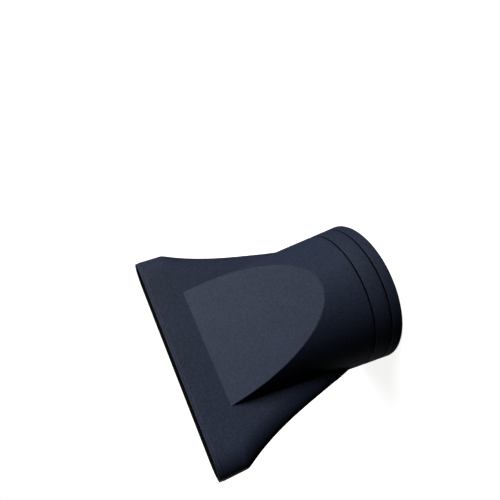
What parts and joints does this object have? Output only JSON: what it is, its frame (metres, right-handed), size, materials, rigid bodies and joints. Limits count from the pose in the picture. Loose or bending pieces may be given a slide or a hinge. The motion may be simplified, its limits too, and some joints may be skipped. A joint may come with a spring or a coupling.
{
  "type": "hair dryer concentrator nozzle",
  "caption": "Swivelling concentrator nozzle for a hair dryer: a round grip collar and a ramped barrel that flattens into a wide fan with a thin slot mouth.",
  "frame": {"origin": "centre of the collar's end face, on the surface that the nozzle stands on", "axes": "+Z along the nozzle's axis from the dryer socket to the air mouth, +X along the mouth's width, +Y across its thickness"},
  "size_m": [0.0844, 0.056, 0.079],
  "materials": {
    "body_plastic": "heat-resistant moulded plastic, matt black with a fine spark-eroded grain",
    "collar_plastic": "heat-resistant moulded plastic, matt black",
    "inner_plastic": "glass-filled plastic, satin black",
    "spring_steel": "drawn spring steel",
    "silicone": "dark grey silicone rubber",
    "slip_plastic": "graphite-filled slip plastic"
  },
  "bodies": {
    "collar": {"end_ring": "collar_plastic", "middle_band": "collar_plastic", "swivel_sleeve": "inner_plastic", "grip_collet": "inner_plastic", "grip_spring": "spring_steel", "nose_seal": "silicone", "friction_ring": "silicone", "thrust_washer": "slip_plastic", "retaining_ring": "spring_steel"},
    "nozzle": {"nozzle_body": "body_plastic"}
  },
  "joints": [
    {"name": "nozzle_swivel", "type": "hinge", "parent": "collar", "child": "nozzle", "pos_m": [0, 0, 0.013], "axis": [0, 0, 1], "continuous": true}
  ]
}
